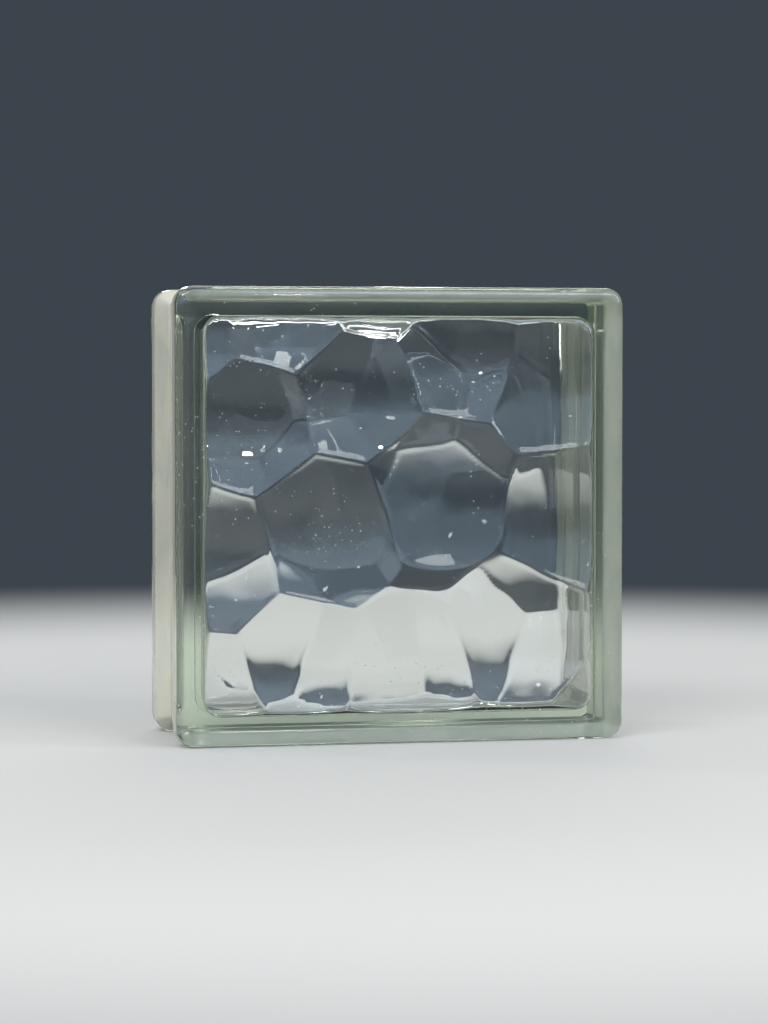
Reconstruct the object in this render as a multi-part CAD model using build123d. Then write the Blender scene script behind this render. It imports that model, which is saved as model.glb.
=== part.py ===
from build123d import *
import math
import os

# Hollow glass block: two identical pressed halves, fused rim to rim into one sealed unit.
# All sizes are in millimetres. The unit stands on one side edge, as it is laid in a wall:
# X runs across the face, Y from the front face to the back face, Z up.

# Whole unit
WIDTH = 190.0
HEIGHT = 190.0
DEPTH = 80.0
CORNER_RADIUS = 7.5  # the four corners of the face, seen from the front
FACE_EDGE_REACH = 4.0  # rounding where a face turns into the rim, across the face
FACE_EDGE_DROP = 3.2  # the same rounding, down the rim

# Mortar channel: a shallow trough that runs round all four sides between the two rims
RIM_LAND = 14.0  # flat bearing band beside each face, measured from the face
CHANNEL_DEPTH = 5.5
CHANNEL_SLOPE_RUN = 6.0  # depth of the unit over which the trough slopes down
RIM_SHOULDER_RADIUS = 1.8  # rounding from the land into the slope
CHANNEL_FOOT_RADIUS = 3.0  # hollow rounding from the slope into the trough floor

# Glass thickness
SIDE_WALL = 5.5  # at the seam, under the trough floor
PANE_CROWN = 9.5  # thickest glass, on the crown of a billow
PANE_FLOOR = 6.0  # thinnest glass, wherever the billows would dip lower

# Inside of one half, as the plunger leaves it
CAVITY_CORNER_RADIUS = 8.5  # at the seam
CAVITY_DRAFT = 1.5  # degrees
CAVITY_FILLET = 5.5  # from the side wall into the pane

# Fused seam: an oval bead of squeezed-out glass, outside and inside
BEAD_WIDTH = 3.6  # through the depth of the unit
BEAD_OUTER_HEIGHT = 2.0  # above the trough floor
BEAD_INNER_HEIGHT = 1.2  # above the inner wall
BEAD_ROOT = 0.5  # how far the outer bead is rooted in the wall

# Billowed relief on the inner surface of each pane: ball-shaped crowns that meet in sharp
# valleys. Seen from inside the block, each crown is given by its place across and up the
# pane, as shares of half the clear opening, and by its radius.
BILLOWS = [
    (-0.88, -0.02, 165),
    (-0.18, 0.14, 180),
    (-0.62, -0.60, 170),
    (-0.03, -0.80, 165),
    (0.38, -0.06, 190),
    (0.52, -0.72, 145),
    (0.95, -0.22, 165),
    (-0.80, 0.66, 165),
    (-0.30, 0.80, 145),
    (0.22, 0.60, 155),
    (0.76, 0.46, 155),
    (0.60, 1.02, 145),
    (-1.15, -1.05, 165),
    (1.02, -0.92, 165),
    (0.12, 1.22, 165),
    (1.15, 0.95, 155),
]

# Sizes that follow
HALF_DEPTH = DEPTH / 2
CHANNEL_WIDTH = WIDTH - 2 * CHANNEL_DEPTH
CHANNEL_HEIGHT = HEIGHT - 2 * CHANNEL_DEPTH
CHANNEL_CORNER_RADIUS = CORNER_RADIUS - CHANNEL_DEPTH
CHANNEL_SLOPE = math.degrees(math.atan2(CHANNEL_DEPTH, CHANNEL_SLOPE_RUN))
CHANNEL_FLOOR_START = RIM_LAND + CHANNEL_SLOPE_RUN
CAVITY_WIDTH = CHANNEL_WIDTH - 2 * SIDE_WALL
CAVITY_HEIGHT = CHANNEL_HEIGHT - 2 * SIDE_WALL
CAVITY_DEPTH = HALF_DEPTH - PANE_FLOOR
CLEAR_HALF_WIDTH = CAVITY_WIDTH / 2 - CAVITY_DEPTH * math.tan(math.radians(CAVITY_DRAFT))
CLEAR_HALF_HEIGHT = CAVITY_HEIGHT / 2 - CAVITY_DEPTH * math.tan(math.radians(CAVITY_DRAFT))


def edges_at(shape, level):
    """Edges that lie flat at one level of a shape.

    Args:
        shape: solid to look at.
        level: distance from the outer face.

    Returns:
        The edges at that level.
    """
    return shape.edges().filter_by_position(Axis.Z, level - 0.001, level + 0.001)


def swept_round(outline, section):
    """Section carried once round an outline.

    Args:
        outline: closed outline to follow.
        section: flat section, with x along the depth of the half and y outwards.

    Returns:
        One ring-shaped solid.
    """
    path = outline.face().outer_wire()
    across = Plane(origin=path @ 0, x_dir=(0, 0, 1), z_dir=path % 0)
    return sweep(across * section, path=path)


def face_edge_waste(outline):
    """Glass that the oval rounding takes off the edge of a face.

    Args:
        outline: outline of the face.

    Returns:
        One ring-shaped solid that runs past the face and the rim.
    """
    spare = FACE_EDGE_REACH / 4
    block = Rectangle(FACE_EDGE_DROP + spare, FACE_EDGE_REACH + spare, align=(Align.MAX, Align.MIN))
    rounding = Ellipse(FACE_EDGE_DROP, FACE_EDGE_REACH)
    edge_centre = Pos(FACE_EDGE_DROP, -FACE_EDGE_REACH)
    return swept_round(outline, edge_centre * (block - rounding))


def pressed_outside():
    """Outside of one half, from its face at level 0 to the seam plane.

    Returns:
        One solid with its rim, sloped shoulder and trough floor.
    """
    face_outline = RectangleRounded(WIDTH, HEIGHT, CORNER_RADIUS)
    rim = extrude(face_outline, RIM_LAND) - face_edge_waste(face_outline)
    slope = Pos(0, 0, RIM_LAND) * extrude(face_outline, CHANNEL_SLOPE_RUN, taper=CHANNEL_SLOPE)
    waist_outline = RectangleRounded(CHANNEL_WIDTH, CHANNEL_HEIGHT, CHANNEL_CORNER_RADIUS)
    waist = Pos(0, 0, RIM_LAND) * extrude(waist_outline, HALF_DEPTH - RIM_LAND)
    outside = rim + slope + waist
    outside = fillet(edges_at(outside, CHANNEL_FLOOR_START), CHANNEL_FOOT_RADIUS)
    return fillet(edges_at(outside, RIM_LAND), RIM_SHOULDER_RADIUS)


def billow(across, up, radius):
    """Ball under one crown of the relief.

    Args:
        across: place of the crown across the pane, as a share of half the clear width.
        up: place of the crown up the pane, as a share of half the clear height.
        radius: radius of the ball.

    Returns:
        One solid whose top is the crown, at its place in one half.
    """
    place = Pos(across * CLEAR_HALF_WIDTH, up * CLEAR_HALF_HEIGHT, PANE_CROWN - radius)
    return place * Rot(90, 0, 0) * Sphere(radius)


def pressed_inside():
    """Hollow of one half: a drafted pocket with the billows standing on its floor.

    Returns:
        The solid that the plunger displaces, from the pane to the seam plane.
    """
    mouth = RectangleRounded(CAVITY_WIDTH, CAVITY_HEIGHT, CAVITY_CORNER_RADIUS)
    pocket = Pos(0, 0, HALF_DEPTH) * extrude(mouth, -CAVITY_DEPTH, taper=CAVITY_DRAFT)
    pocket = fillet(edges_at(pocket, PANE_FLOOR), CAVITY_FILLET)
    return pocket - [billow(*crown) for crown in BILLOWS]


def outer_bead():
    """Bead outside the seam, standing on the trough floor.

    Returns:
        One ring-shaped solid round the seam plane at level 0.
    """
    oval = Ellipse(BEAD_WIDTH / 2, BEAD_OUTER_HEIGHT)
    kept = Pos(0, -BEAD_ROOT) * Rectangle(
        BEAD_WIDTH, BEAD_OUTER_HEIGHT + BEAD_ROOT, align=(Align.CENTER, Align.MIN)
    )
    outline = RectangleRounded(CHANNEL_WIDTH, CHANNEL_HEIGHT, CHANNEL_CORNER_RADIUS)
    return swept_round(outline, oval & kept)


def inner_bead():
    """Bead inside the seam, half of it sunk in the wall.

    Returns:
        One ring-shaped solid round the seam plane at level 0.
    """
    outline = RectangleRounded(CAVITY_WIDTH, CAVITY_HEIGHT, CAVITY_CORNER_RADIUS)
    return swept_round(outline, Ellipse(BEAD_WIDTH / 2, BEAD_INNER_HEIGHT))


def glass_block():
    """Whole unit: two pressed halves, the second turned half round, fused at the seam.

    Returns:
        One solid with a sealed hollow, standing on its lower side.
    """
    upright = Rot(90, 0, 0)
    half = pressed_outside() - pressed_inside()
    back = Pos(0, HALF_DEPTH, 0) * upright * half
    front = Rot(0, 0, 180) * back
    seam = upright * (outer_bead() + inner_bead())
    return Pos(0, 0, HEIGHT / 2) * (front + back + seam)


os.makedirs("parts", exist_ok=True)
block = glass_block()
export_step(block, "parts/glass_block.step")
print("solids", len(block.solids()), "valid", block.is_valid)
print("volume", round(block.volume), "mm3")
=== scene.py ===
"""Looks of a hollow glass block: two pressed halves fused into one unit, on a studio floor.

The unit stands on one side, as it is laid. X runs across the face, Y from the front face
to the back face, Z up. Sizes of the block are in millimetres until the mesh is made.
"""

import logging
import math
from dataclasses import dataclass
from enum import Enum
from functools import partial

import bpy
import numpy as np
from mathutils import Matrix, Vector


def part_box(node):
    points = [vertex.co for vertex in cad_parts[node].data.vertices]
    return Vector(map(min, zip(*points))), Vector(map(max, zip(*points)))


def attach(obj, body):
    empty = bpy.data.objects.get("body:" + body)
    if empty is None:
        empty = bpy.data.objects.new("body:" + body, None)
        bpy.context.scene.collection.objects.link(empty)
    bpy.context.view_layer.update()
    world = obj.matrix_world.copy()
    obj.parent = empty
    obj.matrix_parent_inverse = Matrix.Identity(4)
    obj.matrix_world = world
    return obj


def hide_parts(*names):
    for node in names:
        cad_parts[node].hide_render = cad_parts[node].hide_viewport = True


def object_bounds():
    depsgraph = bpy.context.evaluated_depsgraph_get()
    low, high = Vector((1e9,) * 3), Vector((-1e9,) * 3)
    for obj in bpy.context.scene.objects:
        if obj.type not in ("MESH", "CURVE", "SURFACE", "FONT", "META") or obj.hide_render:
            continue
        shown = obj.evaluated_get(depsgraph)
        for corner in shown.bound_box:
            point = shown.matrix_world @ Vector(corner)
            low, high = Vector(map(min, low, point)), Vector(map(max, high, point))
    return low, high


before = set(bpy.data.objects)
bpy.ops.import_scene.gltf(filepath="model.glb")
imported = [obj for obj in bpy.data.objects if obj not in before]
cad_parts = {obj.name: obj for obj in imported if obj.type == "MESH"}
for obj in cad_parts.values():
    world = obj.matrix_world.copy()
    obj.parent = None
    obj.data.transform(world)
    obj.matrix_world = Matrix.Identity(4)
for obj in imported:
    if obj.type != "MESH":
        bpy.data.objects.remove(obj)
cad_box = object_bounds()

MM = 0.001
MATH = "ShaderNodeMath"
VECTOR_MATH = "ShaderNodeVectorMath"
MAP_RANGE = "ShaderNodeMapRange"
MIX = "ShaderNodeMix"
NOISE = "ShaderNodeTexNoise"
NAMED_ATTRIBUTE = "GeometryNodeInputNamedAttribute"
NUMBER_A, NUMBER_B = 2, 3  # a mix node's inputs for numbers
COLOUR_A, COLOUR_B, COLOUR_MIXED = 6, 7, 2  # and its inputs and output for colours
HALFWAY = 0.5  # middle of a noise, and the level above which a mark counts as set
HALVES = 2
HALF_TURN = (0.0, 0.0, math.pi)
INWARD = (0.0, -1.0, 0.0)  # from the back face into the glass
ACROSS_AND_UP = (1.0, 0.0, 1.0)  # takes the depth out of a direction
NODE = "glass_block"
NOISE_SWING = 4.0  # soft noise strays about a quarter from its middle, and this makes that 1
FUSE_GAP = 0.002  # millimetres within which points of the two halves become one
RADIUS_SQUARED = "radius_squared"  # attribute of the crown points
log = logging.getLogger("glass_block")
Tree = bpy.types.NodeTree
Socket = bpy.types.NodeSocket
Colour = tuple[float, float, float, float]  # red, green, blue and alpha, linear
Ring = tuple[float, float]  # depth from the face, and inset from an outline


class Shell(Enum):
    """Side of the glass that a pressed surface lies on."""

    OUTSIDE = "outside"
    INSIDE = "inside"


class Mark(Enum):
    """Vertex attributes that tell the tree and the finish what part of the block a point is on."""

    HOLLOW = "hollow"
    PANE = "pane"
    BEAD = "bead"
    COAT = "coat"


def linear(hex_colour: str) -> Colour:
    """Linear colour of an sRGB hex value.

    Args:
        hex_colour: six hex digits, with or without a leading #.

    Returns:
        The colour for a shader socket, opaque.
    """
    digits = hex_colour.lstrip("#")
    channels = [int(digits[i : i + 2], 16) / 255 for i in (0, 2, 4)]
    # these numbers are the curve that the sRGB standard gives
    bent = [c / 12.92 if c <= 0.04045 else ((c + 0.055) / 1.055) ** 2.4 for c in channels]
    return (*bent, 1.0)


def add_node(
    tree: Tree,
    kind: str,
    inputs: dict[str | int, object] | tuple[object, ...] = (),
    output: str | int = 0,
    **settings: object,
) -> Socket | None:
    """Adds a node with its settings, socket values and links.

    Args:
        tree: tree that gets the node.
        kind: type name of the node.
        inputs: value or linked output for each input, in order, or by its name or number.
        output: output that is wanted, by its name or number.
        settings: properties of the node itself.

    Returns:
        That output, whose node has the others, or None from a node that ends the tree.
    """
    node = tree.nodes.new(kind)
    for name, value in settings.items():
        setattr(node, name, value)
    for key, value in inputs.items() if isinstance(inputs, dict) else enumerate(inputs):
        if isinstance(value, Socket):
            tree.links.new(value, node.inputs[key])
        else:
            node.inputs[key].default_value = value
    return node.outputs[output] if node.outputs else None


def seen_ray(tree: Tree) -> Socket:
    """Tells rays that carry an image of the studio from rays that only light it.

    Args:
        tree: tree to add to.

    Returns:
        Output that is 1 for what the camera, a gloss or the glass shows, and 0 for light.
    """
    add = partial(add_node, tree)
    camera = add("ShaderNodeLightPath", output="Is Camera Ray")
    glossy = camera.node.outputs["Is Glossy Ray"]
    through = camera.node.outputs["Is Transmission Ray"]
    either = add(MATH, (camera, glossy), operation="MAXIMUM")
    return add(MATH, (either, through), operation="MAXIMUM")


@dataclass
class BlockSection:
    """Section of the unit through its depth, in millimetres. Every ring follows from it."""

    width: float
    depth: float
    height: float
    corner_radius: float = 7.5
    face_edge_reach: float = 4.0
    face_edge_drop: float = 3.2
    rim_land: float = 14.0
    channel_depth: float = 5.5
    channel_slope_run: float = 6.0
    rim_shoulder_radius: float = 1.8
    channel_foot_radius: float = 3.0
    side_wall: float = 5.5
    pane_floor: float = 6.0
    cavity_corner_radius: float = 8.5
    cavity_draft: float = 1.5
    cavity_fillet: float = 5.5
    bead_width: float = 3.6
    bead_outer_height: float = 2.0
    bead_inner_height: float = 1.2
    bead_root_radius: float = 0.5
    support: float = 0.5  # loops beside each rounding, which keep the flats flat
    rounding_steps: int = 8
    bead_approach: float = 2.0  # trough floor kept level before the bead
    coat_start: float = 4.0  # depth at which the bonding coat begins
    coat_full: float = 8.0  # depth from which it is whole

    @classmethod
    def from_frame(cls, node: str) -> "BlockSection":
        """Section whose overall sizes are those of the CAD node.

        Args:
            node: name of the CAD node.

        Returns:
            The section.
        """
        low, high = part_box(node)
        size = (high - low) / MM
        return cls(width=size.x, depth=size.y, height=size.z)

    @property
    def seam(self) -> float:
        """Depth of the seam plane, measured from a face."""
        return self.depth / 2

    def outer_profile(self) -> list[Ring]:
        """Outside of one half, from the edge of the face to the seam.

        Returns:
            Depth from the face and inset from the outline, ring by ring.
        """
        steps = self.rounding_steps
        turn = math.atan2(self.channel_depth, self.channel_slope_run)
        land_end = self.rim_land - self.rim_shoulder_radius * math.tan(turn / 2)
        slope_end = self.rim_land + self.channel_slope_run
        floor_start = slope_end + self.channel_foot_radius * math.tan(turn / 2)
        rings = []
        for step in range(steps + 1):
            angle = math.pi / 2 * step / steps
            drop = self.face_edge_drop * (1 - math.cos(angle))
            rings.append((drop, self.face_edge_reach * (1 - math.sin(angle))))
        rings += [(self.coat_start, 0.0), (self.coat_full, 0.0), (land_end - self.support, 0.0)]
        shoulder = self.rounding(land_end, self.rim_shoulder_radius, 0.0, turn, steps // 2, 1)
        foot = self.rounding(
            floor_start, self.channel_foot_radius, self.channel_depth, turn, steps // 2, -1
        )
        near = self.support / math.dist(shoulder[-1], foot[0])
        slope = [
            tuple(a + (b - a) * share for a, b in zip(shoulder[-1], foot[0]))
            for share in (near, 0.5, 1 - near)
        ]
        rings += shoulder + slope + foot
        rings.append((floor_start + self.support, self.channel_depth))
        return rings + self.outer_bead_profile()

    def rounding(
        self, tangent: float, radius: float, inset: float, turn: float, steps: int, way: int
    ) -> list[Ring]:
        """Arc between the level land or floor and the slope of the channel.

        Args:
            tangent: depth at which the arc leaves the level stretch.
            radius: radius of the arc.
            inset: inset of the level stretch.
            turn: angle of the slope.
            steps: parts of the arc.
            way: 1 for the arc that leaves the land, -1 for the one that reaches the floor.

        Returns:
            Depth and inset of each point, in order of growing depth.
        """
        angles = [turn * step / steps for step in range(steps + 1)]
        points = [
            (tangent + way * radius * math.sin(a), inset + way * radius * (1 - math.cos(a))) for a in angles
        ]
        return points if way == 1 else points[::-1]

    def outer_bead_profile(self) -> list[Ring]:
        """Trough floor up to the bead, and the bead up to the seam.

        Returns:
            Depth and inset of each ring.
        """
        half_width = self.bead_width / 2
        foot = self.seam - half_width - self.bead_root_radius
        rings = [(foot - self.bead_approach, self.channel_depth), (foot, self.channel_depth)]
        for step in range(1, self.rounding_steps + 1):
            angle = math.pi / 2 * step / self.rounding_steps
            rise = self.bead_outer_height * math.sin(angle)
            rings.append((self.seam - half_width * math.cos(angle), self.channel_depth - rise))
        return rings

    def inner_profile(self) -> list[Ring]:
        """Hollow of one half, from the flat of the pane to the seam.

        Returns:
            Depth from the face and inset from the mouth of the hollow, ring by ring.
        """
        steps = self.rounding_steps
        draft = math.radians(self.cavity_draft)
        lean = (self.seam - self.pane_floor) * math.tan(draft)
        sweep = math.pi / 2 - draft
        reach = self.cavity_fillet * math.tan(sweep / 2)
        centre = (self.pane_floor + self.cavity_fillet, lean + reach)
        rings = []
        for step in range(steps + 1):
            angle = sweep * step / steps
            depth = centre[0] - self.cavity_fillet * math.cos(angle)
            rings.append((depth, centre[1] - self.cavity_fillet * math.sin(angle)))
        start = rings[-1][0]
        half_width = self.bead_width / 2
        end = self.seam - half_width - self.bead_root_radius
        near = self.support / (end - start)
        for share in (near, 0.5, 1 - near, 1.0):
            depth = start + (end - start) * share
            rings.append((depth, (self.seam - depth) * math.tan(draft)))
        for step in range(1, steps + 1):
            angle = math.pi / 2 * step / steps
            rise = self.bead_inner_height * math.sin(angle)
            rings.append((self.seam - half_width * math.cos(angle), rise))
        return rings


@dataclass
class BillowField:
    """Relief on the inner surface of a pane: ball-shaped crowns that meet in valleys.

    Each crown is its place across and up the pane, seen from inside the block, as shares
    of half the clear opening, and its radius in millimetres.
    """

    crown_level: float = 9.5
    valley_softness: float = 0.4  # the plunger's sharp ridges leave slightly rounded valleys
    groove_depth: float = 0.25  # the plunger's ridges stand a little proud and score each valley
    groove_reach: float = 0.55  # lead of one ball over the next, at which the groove has died out
    crowns: tuple[tuple[float, float, float], ...] = (
        (-0.88, -0.02, 165),
        (-0.18, 0.14, 180),
        (-0.62, -0.60, 170),
        (-0.03, -0.80, 165),
        (0.38, -0.06, 190),
        (0.52, -0.72, 145),
        (0.95, -0.22, 165),
        (-0.80, 0.66, 165),
        (-0.30, 0.80, 145),
        (0.22, 0.60, 155),
        (0.76, 0.46, 155),
        (0.60, 1.02, 145),
        (-1.15, -1.05, 165),
        (1.02, -0.92, 165),
        (0.12, 1.22, 165),
        (1.15, 0.95, 155),
    )

    def make_points(self, section: BlockSection) -> bpy.types.Object:
        """One loose point for each ball, at its centre, with the square of its radius.

        Up and across are those of the back half, and depth is measured from its face.

        Args:
            section: section of the unit.

        Returns:
            An object that the relief tree samples.
        """
        lean = (section.seam - section.pane_floor) * math.tan(math.radians(section.cavity_draft))
        wall = section.channel_depth + section.side_wall
        half_wide = section.width / 2 - wall - lean
        half_high = section.height / 2 - wall - lean
        places = [
            (u * half_wide, self.crown_level - radius, section.height / 2 + v * half_high)
            for u, v, radius in self.crowns
        ]
        mesh = bpy.data.meshes.new("crown_points")
        mesh.from_pydata((np.array(places) * MM).tolist(), [], [])
        squares = mesh.attributes.new(RADIUS_SQUARED, "FLOAT", "POINT")
        squares.data.foreach_set("value", [(radius * MM) ** 2 for _, _, radius in self.crowns])
        points = bpy.data.objects.new("crown_points", mesh)
        bpy.context.scene.collection.objects.link(points)
        return points


@dataclass
class PressedHalf:
    """Mesh of one pressed half, with its face, rim and channel outside and its hollow inside."""

    section: BlockSection
    inner_straight: int = 150  # squares along the straight part of each side of the hollow
    outer_straight: int = 40
    per_arc: int = 5  # squares along half a corner
    rubbed: float = 0.45  # share of the coat lost where an edge is rubbed in handling
    rub_reach: float = 0.9  # millimetres either side of that edge
    wave_border: float = 0.08  # share of the half width over which the face's waves begin

    def outline(self, inset: float, radius: float, straight: int) -> np.ndarray:
        """Rounded rectangle that starts in the middle of the lower left corner.

        Args:
            inset: distance inside the face's outline.
            radius: corner radius.
            straight: parts of each straight side.

        Returns:
            Points across and up, counterclockwise, one row each.
        """
        half_wide = self.section.width / 2 - inset - radius
        half_high = self.section.height / 2 - inset - radius
        corners = [(x * half_wide, y * half_high) for x, y in ((-1, -1), (1, -1), (1, 1), (-1, 1))]
        points = []
        for side in range(4):
            facing = -math.pi / 2 + side * math.pi / 2
            start, end = corners[side], corners[(side + 1) % 4]
            for step in range(self.per_arc):
                angle = facing - math.pi / 4 * (1 - step / self.per_arc)
                points.append((start[0] + radius * math.cos(angle), start[1] + radius * math.sin(angle)))
            edge = (radius * math.cos(facing), radius * math.sin(facing))
            for step in range(straight):
                share = step / straight
                points.append(tuple(a + (b - a) * share + e for a, b, e in zip(start, end, edge)))
            for step in range(self.per_arc):
                angle = facing + math.pi / 4 * step / self.per_arc
                points.append((end[0] + radius * math.cos(angle), end[1] + radius * math.sin(angle)))
        return np.array(points)

    def pane_grid(self, border: np.ndarray) -> np.ndarray:
        """Square grid that fills an outline, blended from its four sides.

        Args:
            border: outline from the middle of one corner round to the same place.

        Returns:
            Points by column, row and axis.
        """
        count = len(border) // 4
        closed = np.vstack([border, border[:1]])
        bottom, right = closed[: count + 1], closed[count : 2 * count + 1]
        top, left = closed[2 * count : 3 * count + 1][::-1], closed[3 * count :][::-1]
        u = np.linspace(0, 1, count + 1)[:, None, None]
        v = np.linspace(0, 1, count + 1)[None, :, None]
        between = (1 - v) * bottom[:, None] + v * top[:, None] + (1 - u) * left[None] + u * right[None]
        corners = (
            (1 - u) * (1 - v) * bottom[0] + u * (1 - v) * bottom[-1] + (1 - u) * v * top[0] + u * v * top[-1]
        )
        return between - corners

    def shell(
        self, side: Shell, profile: list[Ring], start: float, corner: float, straight: int
    ) -> tuple[np.ndarray, np.ndarray]:
        """Closed pane and its rings down to the seam.

        Args:
            side: which side of the glass this is, which sets the way that faces point.
            profile: depth and inset of each ring, the first being the border of the pane.
            start: inset of the outline that the profile is measured from.
            corner: corner radius of that outline.
            straight: parts of each straight side.

        Returns:
            Points across, up and in depth, and four-cornered faces.
        """
        rings = [self.outline(start + inset, corner - inset, straight) for _, inset in profile]
        ring_size = len(rings[0])
        count = ring_size // 4
        grid = self.pane_grid(rings[0])
        levels = [np.full(grid.shape[:2], profile[0][0]).ravel()]
        flat = [grid.reshape(-1, 2)]
        for (depth, _), ring in zip(profile[1:], rings[1:]):
            flat.append(ring)
            levels.append(np.full(ring_size, depth))
        points = np.column_stack([np.vstack(flat), np.concatenate(levels)])

        number = np.arange((count + 1) ** 2).reshape(count + 1, count + 1)
        cells = [number[:-1, :-1], number[1:, :-1], number[1:, 1:], number[:-1, 1:]]
        pane = np.stack(cells, -1).reshape(-1, 4)
        border = np.concatenate([number[:-1, 0], number[-1, :-1], number[:0:-1, -1], number[0, :0:-1]])
        bands = []
        for ring in range(len(profile) - 1):
            base = number.size + ring * ring_size
            following = base + np.arange(ring_size)
            bands.append(np.stack([border, np.roll(border, -1), np.roll(following, -1), following], -1))
            border = following
        wall = np.vstack(bands)
        if side is Shell.OUTSIDE:
            pane = pane[:, ::-1]
        else:
            wall = wall[:, ::-1]
        return points, np.vstack([pane, wall])

    def make(self) -> bpy.types.Object:
        """Back half in the part's frame, with the marks that the tree and finish read.

        Returns:
            An object whose mesh is open at the seam.
        """
        s = self.section
        face_border = (0.0, s.face_edge_reach + s.support)
        outer = self.shell(
            Shell.OUTSIDE, [face_border] + s.outer_profile(), 0.0, s.corner_radius, self.outer_straight
        )
        inner = self.shell(
            Shell.INSIDE,
            s.inner_profile(),
            s.channel_depth + s.side_wall,
            s.cavity_corner_radius,
            self.inner_straight,
        )
        points = np.vstack([outer[0], inner[0]])
        faces = np.vstack([outer[1], inner[1] + len(outer[0])])
        across, up, depth = points.T
        placed = np.column_stack([across, s.seam - depth, s.height / 2 + up]) * MM
        mesh = bpy.data.meshes.new("pressed_half")
        mesh.from_pydata(placed.tolist(), [], faces.tolist())

        hollow = np.arange(len(points)) >= len(outer[0])
        self.mark(mesh, Mark.HOLLOW, hollow)
        edge = np.maximum(np.abs(across) / (s.width / 2), np.abs(up) / (s.height / 2))
        fade = np.clip((1 - s.face_edge_reach / (s.width / 2) - edge) / self.wave_border, 0, 1)
        self.mark(mesh, Mark.PANE, ~hollow * (depth == 0) * fade)
        near_seam = np.clip(1 - (s.seam - depth) / (s.bead_width / 2 + s.bead_root_radius), 0, 1)
        self.mark(mesh, Mark.BEAD, np.sqrt(near_seam))
        shoulder = np.exp(-(((depth - s.rim_land) / self.rub_reach) ** 2))
        crest = np.exp(-(((s.seam - depth) / self.rub_reach) ** 2))
        coated = np.clip((depth - s.coat_start) / (s.coat_full - s.coat_start), 0, 1)
        self.mark(mesh, Mark.COAT, ~hollow * coated * (1 - self.rubbed * (shoulder + crest)))
        half = bpy.data.objects.new("pressed_half", mesh)
        bpy.context.scene.collection.objects.link(half)
        return half

    def mark(self, mesh: bpy.types.Mesh, mark: Mark, values: np.ndarray) -> None:
        """Stores one number per point under a mark's name."""
        attribute = mesh.attributes.new(mark.value, "FLOAT", "POINT")
        attribute.data.foreach_set("value", values.astype(float))


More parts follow.
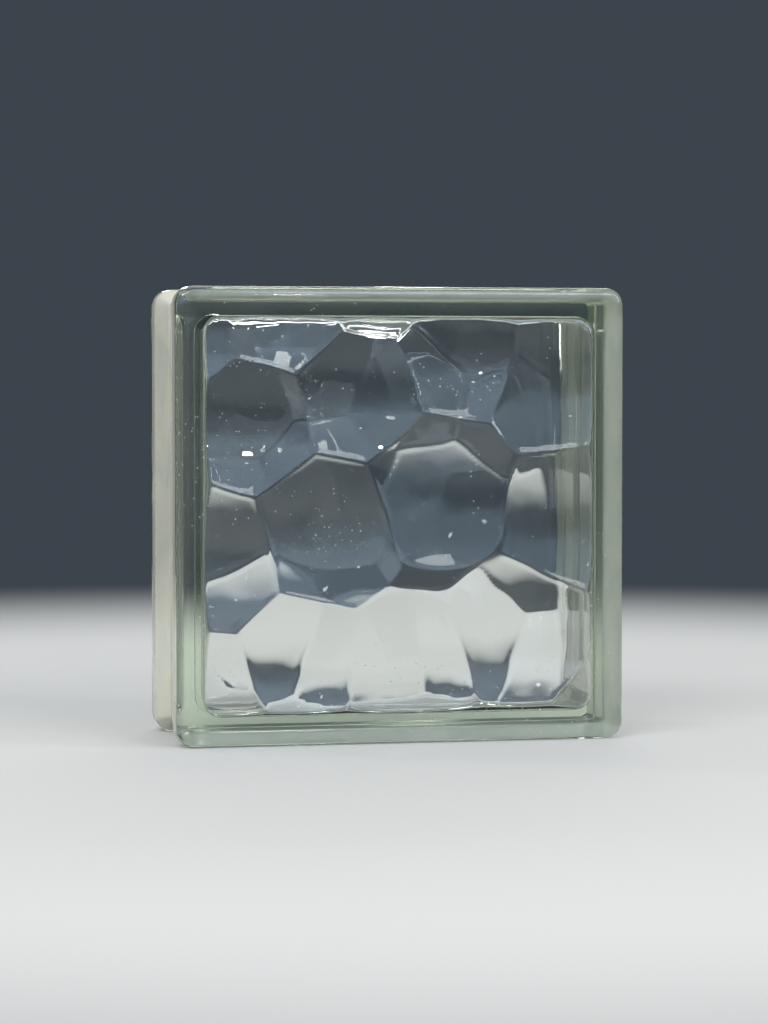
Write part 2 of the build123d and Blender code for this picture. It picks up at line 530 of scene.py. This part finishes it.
class PressingTree:
    """Nodes that press the relief, turn a copy of the half round and fuse the two."""

    def __init__(self, sizes: list[str]) -> None:
        """Starts the tree with its named inputs, its waves and the marks that it reads.

        Args:
            sizes: names of the inputs that take a number.
        """
        self.tree = bpy.data.node_groups.new("pressing", "GeometryNodeTree")
        self.add = partial(add_node, self.tree)
        kinds = {"Half": "Geometry", "Crown points": "Object", "Crown count": "Int", "Finish": "Material"}
        for name, kind in (kinds | dict.fromkeys(sizes, "Float")).items():
            self.tree.interface.new_socket(name, in_out="INPUT", socket_type=f"NodeSocket{kind}")
        self.tree.interface.new_socket("Block", in_out="OUTPUT", socket_type="NodeSocketGeometry")
        self.given = self.add("NodeGroupInput").node.outputs
        self.marks = {
            mark: self.add(NAMED_ATTRIBUTE, {"Name": mark.value}, "Attribute")
            for mark in (Mark.HOLLOW, Mark.PANE, Mark.BEAD)
        }
        self.waves: dict[str, Socket] = {}
        for name in ("Crease", "Flow", "Face", "Bead"):
            scale = self.given[f"{name} waves per metre"]
            chosen = {"W": self.given["Seed"], "Scale": scale, "Detail": self.given["Noise detail"]}
            self.waves[name] = self.add(NOISE, chosen, noise_dimensions="4D")

    def build(self) -> Tree:
        """Adds the steps in the order in which a block is made.

        Returns:
            The finished tree.
        """
        pressed = self.add_relief()
        waved = self.add_face_wave(pressed)
        fused = self.add_turned_copy(waved)
        uneven = self.add_bead_unevenness(fused)
        smooth = self.add("GeometryNodeSetShadeSmooth", {"Geometry": uneven})
        finish = {"Geometry": smooth, "Material": self.given["Finish"]}
        self.add("NodeGroupOutput", {"Block": self.add("GeometryNodeSetMaterial", finish)})
        return self.tree

    def add_relief(self) -> Socket:
        """Presses the billows into the hollow, with the ripples of flowing glass on them.

        Returns:
            Geometry with the relief pressed in.
        """
        add, given = self.add, self.given
        place = add("GeometryNodeInputPosition")
        across = add("ShaderNodeSeparateXYZ", (place,), "X")
        y, z = across.node.outputs["Y"], across.node.outputs["Z"]
        depth = add(MATH, (given["Seam depth"], y), operation="SUBTRACT")
        valleys = self.add_crowns(place)
        relief = add(MATH, (depth, valleys, given["Valley softness"]), operation="SMOOTH_MAX")
        lifted = add(MATH, (relief, depth), operation="SUBTRACT")
        ramp = add(MAP_RANGE, {"Value": lifted, "From Max": given["Flow ramp"], "To Max": NOISE_SWING})
        centred = add(MATH, (self.waves["Flow"], HALFWAY), operation="SUBTRACT")
        weight = add(MATH, (ramp, given["Flow height"]), operation="MULTIPLY")
        flowing = add(MATH, (centred, weight, relief), operation="MULTIPLY_ADD")
        level = add(MATH, (given["Seam depth"], flowing), operation="SUBTRACT")
        raised = add("ShaderNodeCombineXYZ", (across, level, z))
        inside = add(MATH, (self.marks[Mark.HOLLOW], HALFWAY), operation="GREATER_THAN")
        return add(
            "GeometryNodeSetPosition", {"Geometry": given["Half"], "Selection": inside, "Position": raised}
        )

    def add_crowns(self, place: Socket) -> Socket:
        """Level of the highest ball at every point, with a groove where two are level.

        Args:
            place: position of the point.

        Returns:
            Depth of the relief, measured from the face.
        """
        add, given = self.add, self.given
        noise = self.waves["Crease"].node.outputs["Color"]
        wander = add(VECTOR_MATH, (noise, (HALFWAY,) * 3), operation="SUBTRACT")
        swing = add(MATH, (given["Crease drift"], NOISE_SWING), operation="MULTIPLY")
        drift = add(VECTOR_MATH, {0: wander, "Scale": swing}, operation="SCALE")
        site = add(VECTOR_MATH, (place, drift), operation="ADD")
        balls = add("GeometryNodeObjectInfo", {"Object": given["Crown points"]}, "Geometry")
        square = add(NAMED_ATTRIBUTE, {"Name": RADIUS_SQUARED}, "Attribute")

        first = self.tree.nodes.new("GeometryNodeRepeatInput")
        last = self.tree.nodes.new("GeometryNodeRepeatOutput")
        first.pair_with_output(last)
        last.repeat_items.clear()
        for name in ("Level", "Highest", "Second"):
            last.repeat_items.new("FLOAT", name)
        self.tree.links.new(given["Crown count"], first.inputs["Iterations"])
        so_far = first.outputs
        ball = {"Geometry": balls, "Index": so_far["Iteration"]}
        centre = add("GeometryNodeSampleIndex", ball | {"Value": place}, data_type="FLOAT_VECTOR")
        radius_squared = add("GeometryNodeSampleIndex", ball | {"Value": square})
        away = add(VECTOR_MATH, (site, centre), operation="SUBTRACT")
        flat = add(VECTOR_MATH, (away, ACROSS_AND_UP), operation="MULTIPLY")
        away_squared = add(VECTOR_MATH, (flat, flat), "Value", operation="DOT_PRODUCT")
        rest = add(MATH, (radius_squared, away_squared), operation="SUBTRACT")
        rise = add(MATH, (rest,), operation="SQRT")
        middle = add("ShaderNodeSeparateXYZ", (centre,), "Y")
        top = add(MATH, (rise, middle), operation="ADD")
        beaten = add(MATH, (so_far["Highest"], top), operation="MINIMUM")
        results = {
            "Level": add(MATH, (so_far["Level"], top, given["Valley softness"]), operation="SMOOTH_MAX"),
            "Highest": add(MATH, (so_far["Highest"], top), operation="MAXIMUM"),
            "Second": add(MATH, (so_far["Second"], beaten), operation="MAXIMUM"),
        }
        for name, result in results.items():
            self.tree.links.new(result, last.inputs[name])

        lead = add(MATH, (last.outputs["Highest"], last.outputs["Second"]), operation="SUBTRACT")
        reach, deepest = given["Groove reach"], given["Groove depth"]
        groove = add(
            MAP_RANGE,
            {"Value": lead, "From Max": reach, "To Min": deepest, "To Max": 0.0},
            interpolation_type="SMOOTHSTEP",
        )
        return add(MATH, (last.outputs["Level"], groove), operation="SUBTRACT")

    def add_face_wave(self, geometry: Socket) -> Socket:
        """Lets the outer face sink a little in slow waves, as pressed glass does on cooling.

        Args:
            geometry: the pressed half.

        Returns:
            Geometry with the waves.
        """
        add = self.add
        weight = add(MATH, (self.marks[Mark.PANE], self.given["Face wave"]), operation="MULTIPLY")
        depth = add(MATH, (self.waves["Face"], weight), operation="MULTIPLY")
        inward = add(VECTOR_MATH, {0: INWARD, "Scale": depth}, operation="SCALE")
        return add("GeometryNodeSetPosition", {"Geometry": geometry, "Offset": inward})

    def add_turned_copy(self, geometry: Socket) -> Socket:
        """Sets the half down twice, the second time turned half round, and fuses the seam.

        Args:
            geometry: the back half.

        Returns:
            Geometry of the whole unit.
        """
        add = self.add
        sites = add("GeometryNodeMeshLine", {"Count": HALVES, "Offset": (0.0, 0.0, 0.0)})
        number = add("GeometryNodeInputIndex")
        turn = add(VECTOR_MATH, {0: HALF_TURN, "Scale": number}, operation="SCALE")
        chosen = {"Points": sites, "Instance": geometry, "Rotation": turn}
        real = add("GeometryNodeRealizeInstances", {"Geometry": add("GeometryNodeInstanceOnPoints", chosen)})
        return add("GeometryNodeMergeByDistance", {"Geometry": real, "Distance": FUSE_GAP * MM})

    def add_bead_unevenness(self, geometry: Socket) -> Socket:
        """Makes the squeezed-out beads at the seam a little uneven.

        Args:
            geometry: the whole unit.

        Returns:
            Geometry with its final beads.
        """
        add = self.add
        chosen = {"Value": self.waves["Bead"], "To Min": -NOISE_SWING / 2, "To Max": NOISE_SWING / 2}
        swing = add(MAP_RANGE, chosen, clamp=False)
        weight = add(MATH, (self.marks[Mark.BEAD], self.given["Bead unevenness"]), operation="MULTIPLY")
        amount = add(MATH, (swing, weight), operation="MULTIPLY")
        normal = add("GeometryNodeInputNormal")
        offset = add(VECTOR_MATH, {0: normal, "Scale": amount}, operation="SCALE")
        return add("GeometryNodeSetPosition", {"Geometry": geometry, "Offset": offset})


@dataclass
class FusedBlock:
    """The whole unit: the relief is pressed into one half, and a turned copy is fused to it."""

    half: PressedHalf
    billows: BillowField
    face_wave: float = 0.10  # how far the outer face wanders from flat, in millimetres
    face_wave_length: float = 55.0
    crease_drift: float = 1.4  # how far the creases wander from true arcs
    crease_drift_length: float = 34.0
    flow_height: float = 0.07  # ripples that flowing glass leaves on the relief
    flow_length: float = 15.0
    flow_ramp: float = 1.5  # height of relief over which the ripples begin
    bead_unevenness: float = 0.22
    bead_wave_length: float = 9.0
    noise_detail: float = 1.0  # finer waves that ride on each slow one
    seed: float = 3.0

    def make(self, finish: bpy.types.Material) -> bpy.types.Object:
        """Builds the tree on the half, bakes it and clears the helpers away.

        Args:
            finish: material of the glass.

        Returns:
            The finished piece.
        """
        carrier = self.half.make()
        carrier.data.materials.append(finish)
        crowns = self.billows.make_points(self.half.section)
        sizes = self.sizes()
        tree = PressingTree(list(sizes)).build()
        modifier = carrier.modifiers.new("pressing", "NODES")
        modifier.node_group = tree
        chosen = sizes | {"Crown points": crowns, "Crown count": len(self.billows.crowns), "Finish": finish}
        for item in tree.interface.items_tree:
            if item.in_out == "INPUT" and item.name in chosen:
                modifier[item.identifier] = chosen[item.name]
        depsgraph = bpy.context.evaluated_depsgraph_get()
        mesh = bpy.data.meshes.new_from_object(
            carrier.evaluated_get(depsgraph), preserve_all_data_layers=True, depsgraph=depsgraph
        )
        mesh.name = "fused_block"
        carrier.modifiers.remove(modifier)
        block = bpy.data.objects.new("fused_block", mesh)
        bpy.context.scene.collection.objects.link(block)
        bpy.data.objects.remove(carrier)
        bpy.data.objects.remove(crowns)
        return block

    def sizes(self) -> dict[str, float]:
        """Number that each named input of the tree gets, with lengths in metres.

        Returns:
            Values by the name of the input.
        """
        return {
            "Valley softness": self.billows.valley_softness * MM,
            "Groove depth": self.billows.groove_depth * MM,
            "Groove reach": self.billows.groove_reach * MM,
            "Seam depth": self.half.section.seam * MM,
            "Crease drift": self.crease_drift * MM,
            "Crease waves per metre": 1 / (self.crease_drift_length * MM),
            "Flow height": self.flow_height * MM,
            "Flow ramp": self.flow_ramp * MM,
            "Flow waves per metre": 1 / (self.flow_length * MM),
            "Face wave": self.face_wave * MM,
            "Face waves per metre": 1 / (self.face_wave_length * MM),
            "Bead unevenness": self.bead_unevenness * MM,
            "Bead waves per metre": 1 / (self.bead_wave_length * MM),
            "Noise detail": self.noise_detail,
            "Seed": self.seed,
        }


@dataclass(frozen=True)
class Film:
    """Something thin on the glass: where it lies, and what the finish turns into there."""

    mask: Socket
    colour: Socket | Colour
    roughness: float
    see_through: float


@dataclass(frozen=True)
class BondingCoat:
    """Milky vinyl film on the four sides, brushed on so that mortar holds: streaky and satin."""

    colour: str = "#E6E4D3"
    thin_colour: str = "#D9DBCB"  # where the brush left less, the green of the glass comes through
    roughness: float = 0.2
    see_through: float = 0.34
    streak_across: float = 5.5  # millimetres between brush marks
    streak_along: float = 24.0
    streak_detail: float = 4.0  # finer bristle marks within each
    mark_from: float = 0.3  # noise level at which a brush mark begins
    mark_to: float = 0.6
    stray: float = 0.6  # how far a brush mark strays from straight
    thinnest: float = 0.90  # share of the film left in a brush mark
    brush_ridge: float = 0.25  # height of the brush marks, in millimetres
    ridge_strength: float = 0.35
    grit: float = 0.9  # millimetres between ragged spots on a rubbed edge
    grit_detail: float = 2.0
    raggedness: float = 0.5
    bare_below: float = 0.62  # coat and raggedness together, at which the film begins
    whole_above: float = 0.86
    strongest: float = 0.95

    def brush_on(self, tree: Tree, place: Socket) -> tuple[Film, Socket]:
        """Nodes that brush the film on.

        Args:
            tree: material tree.
            place: object coordinates.

        Returns:
            The film, and the normal with its brush marks.
        """
        add = partial(add_node, tree)
        along = 1 / (self.streak_along * MM)
        across = 1 / (self.streak_across * MM)
        stretch = add("ShaderNodeMapping", {"Vector": place, "Scale": (along, across, along)})
        brush = add(
            NOISE, {"Vector": stretch, "Scale": 1.0, "Detail": self.streak_detail, "Distortion": self.stray}
        )
        grain = add(NOISE, {"Vector": place, "Scale": 1 / (self.grit * MM), "Detail": self.grit_detail})
        mark = add("ShaderNodeAttribute", output="Fac", attribute_name=Mark.COAT.value)
        laid_on = add(MAP_RANGE, {"Value": brush, "From Min": self.mark_from, "From Max": self.mark_to})
        thickness = add(MAP_RANGE, {"Value": laid_on, "To Min": self.thinnest})
        milk = add(
            MIX,
            {"Factor": laid_on, COLOUR_A: linear(self.thin_colour), COLOUR_B: linear(self.colour)},
            COLOUR_MIXED,
            data_type="RGBA",
        )
        ragged = add(MATH, (grain, self.raggedness, mark), operation="MULTIPLY_ADD")
        laid = add(
            MAP_RANGE,
            {
                "Value": ragged,
                "From Min": self.bare_below,
                "From Max": self.whole_above,
                "To Max": self.strongest,
            },
            interpolation_type="SMOOTHSTEP",
        )
        mask = add(MATH, (laid, thickness), operation="MULTIPLY")
        ridges = add(MATH, (mask, self.ridge_strength), operation="MULTIPLY")
        marked = add(
            "ShaderNodeBump", {"Height": brush, "Strength": ridges, "Distance": self.brush_ridge * MM}
        )
        return Film(mask, milk, self.roughness, self.see_through), marked


@dataclass(frozen=True)
class HandlingDust:
    """Thin dust and dried water marks on the faces, sparse and fine. None is in the hollow."""

    colour: str = "#DEDCD4"
    roughness: float = 0.6
    see_through: float = 0.5  # half of the light still goes on through thin dust
    cloud_length: float = 45.0  # millimetres between dusty places
    cloud_detail: float = 5.0
    speck_spacing: float = 2.4
    speck_size: float = 0.14  # radius as a share of the spacing, coarse enough to show
    speck_core: float = 0.5  # share of that radius which is covered whole
    dusty_from: float = 0.46  # cloud level at which specks begin
    dusty_to: float = 0.6
    strongest: float = 0.7
    haze_from: float = 0.45  # cloud level at which the even haze begins
    haze_to: float = 0.75
    haze: float = 0.02
    rim_haze: float = 0.10  # mortar haze that stays round the edge of a face
    rim_haze_width: float = 13.0
    rim_haze_waver: float = 10.0

    def settle(self, tree: Tree, place: Socket, centre: Vector) -> Film:
        """Nodes that scatter the dust.

        Args:
            tree: material tree.
            place: object coordinates.
            centre: middle of the block.

        Returns:
            The dust.
        """
        add = partial(add_node, tree)
        cells = add("ShaderNodeTexVoronoi", {"Vector": place, "Scale": 1 / (self.speck_spacing * MM)})
        speck = add(
            MAP_RANGE,
            {
                "Value": cells,
                "From Min": self.speck_size,
                "From Max": self.speck_size * self.speck_core,
                "To Max": self.strongest,
            },
        )
        cloud = add(
            NOISE, {"Vector": place, "Scale": 1 / (self.cloud_length * MM), "Detail": self.cloud_detail}
        )
        dusty = add(MAP_RANGE, {"Value": cloud, "From Min": self.dusty_from, "From Max": self.dusty_to})
        specks = add(MATH, (speck, dusty), operation="MULTIPLY")
        haze = add(
            MAP_RANGE,
            {"Value": cloud, "From Min": self.haze_from, "From Max": self.haze_to, "To Max": self.haze},
        )
        centred = add("ShaderNodeMapping", {"Vector": place, "Location": tuple(-c for c in centre)})
        reach = add(VECTOR_MATH, (centred,), operation="ABSOLUTE")
        across = add("ShaderNodeSeparateXYZ", (reach,), "X")
        farthest = add(MATH, (across, across.node.outputs["Z"]), operation="MAXIMUM")
        wavering = add(MATH, (cloud, self.rim_haze_waver * MM, farthest), operation="MULTIPLY_ADD")
        edge = centre.z + self.rim_haze_waver * HALFWAY * MM
        rim = add(
            MAP_RANGE,
            {
                "Value": wavering,
                "From Min": edge - self.rim_haze_width * MM,
                "From Max": edge,
                "To Max": self.rim_haze,
            },
            interpolation_type="SMOOTHSTEP",
        )
        film = add(MATH, (rim, haze), operation="ADD")
        both = add(MATH, (specks, film), operation="ADD")
        hollow = add("ShaderNodeAttribute", output="Fac", attribute_name=Mark.HOLLOW.value)
        open_air = add(MATH, (1.0, hollow), operation="SUBTRACT")
        mask = add(MATH, (both, open_air), operation="MULTIPLY")
        return Film(mask, linear(self.colour), self.roughness, self.see_through)


@dataclass(frozen=True)
class PressedSodaLimeGlass:
    """Soda-lime glass pressed in iron moulds: fire-bright, and faintly green where it is deep.

    Iron in the sand takes the red first, so long paths through the walls turn mint green
    while the panes stay clear.
    """

    colour: str = "#FFFFFF"
    ior: float = 1.52
    roughness: float = 0.0
    see_through: float = 1.0
    tint: str = "#B8DE9E"
    tint_density: float = 7.5
    coat: BondingCoat = BondingCoat()
    dust: HandlingDust = HandlingDust()

    def make(self, centre: Vector) -> bpy.types.Material:
        """Material with the glass, its side film and its dust.

        Args:
            centre: middle of the block.

        Returns:
            The finished material.
        """
        # Fire-polished glass is perfectly smooth, so all its light and dark comes from what it
        # bends and mirrors, and the walls look greener than the panes for their depth.
        material = bpy.data.materials.new("pressed_soda_lime_glass")
        material.use_nodes = True
        tree = material.node_tree
        tree.nodes.clear()
        add = partial(add_node, tree)
        place = add("ShaderNodeTexCoord", output="Object")
        coat, marked = self.coat.brush_on(tree, place)
        colour, roughness, clearness = linear(self.colour), self.roughness, self.see_through
        for film in (self.dust.settle(tree, place, centre), coat):
            colour = add(
                MIX,
                {"Factor": film.mask, COLOUR_A: colour, COLOUR_B: film.colour},
                COLOUR_MIXED,
                data_type="RGBA",
            )
            roughness = add(MIX, {"Factor": film.mask, NUMBER_A: roughness, NUMBER_B: film.roughness})
            clearness = add(MIX, {"Factor": film.mask, NUMBER_A: clearness, NUMBER_B: film.see_through})
        glass = add(
            "ShaderNodeBsdfPrincipled",
            {
                "Base Color": colour,
                "Roughness": roughness,
                "IOR": self.ior,
                "Transmission Weight": clearness,
                "Normal": marked,
            },
        )
        depth = add(
            "ShaderNodeVolumeAbsorption", {"Color": linear(self.tint), "Density": self.tint_density}
        )
        add("ShaderNodeOutputMaterial", {"Surface": glass, "Volume": depth})
        return material


@dataclass(frozen=True)
class Softbox:
    """Studio light, rectangular or oval, aimed at the block. Its lengths are in metres."""

    name: str
    azimuth: float  # degrees from straight in front, growing to the right
    elevation: float
    distance: float
    wide: float
    high: float
    watts: float


@dataclass(frozen=True)
class MattPaper:
    """Pale paper floor without shine, which keeps the block's shadow close to it."""

    colour: str = "#D6D7D6"
    fade_start: float = 0.45  # metres from the block at which it begins to fade
    fade_end: float = 1.0

    def make(self, backdrop: str) -> bpy.types.Material:
        """Material that turns into the backdrop's colour away from the block.

        Args:
            backdrop: colour of the backdrop.

        Returns:
            The finished material.
        """
        # Paper fibres scatter light evenly, so the floor has no gloss and a soft shadow.
        material = bpy.data.materials.new("matt_paper")
        material.use_nodes = True
        tree = material.node_tree
        tree.nodes.clear()
        add = partial(add_node, tree)
        place = add("ShaderNodeTexCoord", output="Object")
        away = add(VECTOR_MATH, (place,), "Value", operation="LENGTH")
        far = add(
            MAP_RANGE,
            {"Value": away, "From Min": self.fade_start, "From Max": self.fade_end},
            interpolation_type="SMOOTHSTEP",
        )
        shown = add(MATH, (far, seen_ray(tree)), operation="MULTIPLY")
        paper = add("ShaderNodeBsdfDiffuse", {"Color": linear(self.colour)})
        faded = add("ShaderNodeEmission", {"Color": linear(backdrop)})
        mix = add("ShaderNodeMixShader", (shown, paper, faded))
        add("ShaderNodeOutputMaterial", {"Surface": mix})
        return material


@dataclass
class Studio:
    """Pale floor, plain backdrop colour, softboxes and the camera. Sizes are in metres."""

    floor: MattPaper = MattPaper()
    floor_half: float = 6.0
    backdrop: str = "#3C444C"
    dark_panel: str = "#1E262E"
    sky_panel: str = "#B4CAE6"
    sky_panel_level: float = 2.5
    panel_rise: tuple[float, float] = (0.02, 0.17)  # height of direction over which they begin
    sky_turn: tuple[float, float] = (0.2, -0.5)  # from the dark panel behind to the sky in front
    ambient: str = "#F4F7FA"
    ambient_level: float = 0.5
    camera_azimuth: float = -12.0
    camera_elevation: float = 2.5
    camera_distance: float = 1.35
    lens: float = 111.0
    sensor_width: float = 36.0  # millimetres, as the lens
    round_below: float = 0.15  # lamps narrower than this are oval
    softboxes: tuple[Softbox, ...] = (
        Softbox("key_softbox", -38.0, 46.0, 1.7, 0.9, 0.6, 9.5),
        Softbox("front_fill", 24.0, 36.0, 1.8, 0.8, 0.5, 7.0),
        Softbox("back_lamp", 158.0, 9.0, 2.0, 0.13, 0.06, 1.1),
        Softbox("second_back_lamp", 167.0, 10.5, 2.0, 0.08, 0.07, 0.9),
        Softbox("third_back_lamp", 175.0, 8.0, 2.0, 0.10, 0.05, 0.9),
        Softbox("back_softbox", 165.0, 34.0, 1.9, 1.1, 0.35, 6.0),
        Softbox("left_strip", -118.0, 20.0, 1.5, 0.16, 0.9, 3.0),
        Softbox("right_strip", 58.0, 26.0, 1.5, 0.20, 0.7, 4.0),
        Softbox("glint_lamp", -3.0, 11.0, 2.0, 0.055, 0.055, 1.2),
        Softbox("second_glint_lamp", 9.0, 16.0, 2.0, 0.05, 0.05, 1.0),
        Softbox("third_glint_lamp", -22.0, 15.0, 2.0, 0.045, 0.045, 0.8),
    )

    def build(self, aim: Vector, level: float) -> None:
        """Makes the floor, the world, the lights and the camera.

        Args:
            aim: point that the lights and the camera face.
            level: height of the floor.
        """
        self.make_floor(level)
        self.make_world()
        for softbox in self.softboxes:
            self.make_light(softbox, aim)
        self.make_camera(aim)
        bpy.context.scene.view_settings.view_transform = "Standard"

    def outward(self, azimuth: float, elevation: float) -> Vector:
        """Unit direction from the block towards a place round it."""
        a, e = math.radians(azimuth), math.radians(elevation)
        return Vector((math.sin(a) * math.cos(e), -math.cos(a) * math.cos(e), math.sin(e)))

    def make_floor(self, level: float) -> None:
        """Adds the floor.

        Args:
            level: height of the floor.
        """
        half = self.floor_half
        mesh = bpy.data.meshes.new("studio_floor")
        corners = [(x * half, y * half, level) for x, y in ((-1, -1), (1, -1), (1, 1), (-1, 1))]
        mesh.from_pydata(corners, [], [(0, 1, 2, 3)])
        mesh.materials.append(self.floor.make(self.backdrop))
        floor = bpy.data.objects.new("studio_floor", mesh)
        bpy.context.scene.collection.objects.link(floor)

    def make_world(self) -> None:
        """Plain backdrop, with panels above it that only the glass shows, and even light."""
        world = bpy.data.worlds.new("studio")
        world.use_nodes = True
        tree = world.node_tree
        tree.nodes.clear()
        add = partial(add_node, tree)
        direction = add("ShaderNodeTexCoord", output="Object")
        forward = add("ShaderNodeSeparateXYZ", (direction,), "Y")
        height = add(
            MAP_RANGE,
            {
                "Value": forward.node.outputs["Z"],
                "From Min": self.panel_rise[0],
                "From Max": self.panel_rise[1],
            },
            interpolation_type="SMOOTHSTEP",
        )
        turned = add(
            MAP_RANGE,
            {"Value": forward, "From Min": self.sky_turn[0], "From Max": self.sky_turn[1]},
            interpolation_type="SMOOTHSTEP",
        )
        sky = [channel * self.sky_panel_level for channel in linear(self.sky_panel)[:3]]
        overhead = add(
            MIX,
            {"Factor": turned, COLOUR_A: linear(self.dark_panel), COLOUR_B: (*sky, 1.0)},
            COLOUR_MIXED,
            data_type="RGBA",
        )
        straight = add("ShaderNodeLightPath", output="Is Camera Ray")
        unseen = add(MATH, (1.0, straight), operation="SUBTRACT")
        panels = add(MATH, (height, unseen), operation="MULTIPLY")
        shade = add(
            MIX,
            {"Factor": panels, COLOUR_A: linear(self.backdrop), COLOUR_B: overhead},
            COLOUR_MIXED,
            data_type="RGBA",
        )
        seen = add("ShaderNodeBackground", {"Color": shade})
        light = add("ShaderNodeBackground", {"Color": linear(self.ambient), "Strength": self.ambient_level})
        mix = add("ShaderNodeMixShader", (seen_ray(tree), light, seen))
        add("ShaderNodeOutputWorld", {"Surface": mix})
        bpy.context.scene.world = world

    def make_light(self, softbox: Softbox, aim: Vector) -> None:
        """Adds one softbox.

        Args:
            softbox: its place, size and power.
            aim: point that it faces.
        """
        lamp = bpy.data.lights.new(softbox.name, "AREA")
        lamp.shape = "ELLIPSE" if softbox.wide < self.round_below else "RECTANGLE"
        lamp.size = softbox.wide
        lamp.size_y = softbox.high
        lamp.energy = softbox.watts
        outward = self.outward(softbox.azimuth, softbox.elevation)
        light = bpy.data.objects.new(softbox.name, lamp)
        light.location = aim + outward * softbox.distance
        light.rotation_euler = outward.to_track_quat("Z", "Y").to_euler()
        light.visible_camera = False
        bpy.context.scene.collection.objects.link(light)

    def make_camera(self, aim: Vector) -> None:
        """Adds the camera at the photograph's angle to the block and makes it the scene's.

        Args:
            aim: point that it faces.
        """
        lens = bpy.data.cameras.new("camera")
        lens.lens = self.lens
        lens.sensor_width = self.sensor_width
        outward = self.outward(self.camera_azimuth, self.camera_elevation)
        camera = bpy.data.objects.new("camera", lens)
        camera.location = aim + outward * self.camera_distance
        camera.rotation_euler = outward.to_track_quat("Z", "Y").to_euler()
        bpy.context.scene.collection.objects.link(camera)
        bpy.context.scene.camera = camera


def main() -> None:
    """Builds the block and the studio."""
    logging.basicConfig(level=logging.INFO, format="%(name)s: %(message)s")
    section = BlockSection.from_frame(NODE)
    half = PressedHalf(section)
    low, high = cad_box
    middle = (low + high) / 2
    block = FusedBlock(half, BillowField()).make(PressedSodaLimeGlass().make(middle))
    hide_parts(NODE)
    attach(block, "root")
    log.info("%s has %d faces", block.name, len(block.data.polygons))
    Studio().build(middle, low.z)
    log.info("studio is ready")


if __name__ == "__main__":
    main()
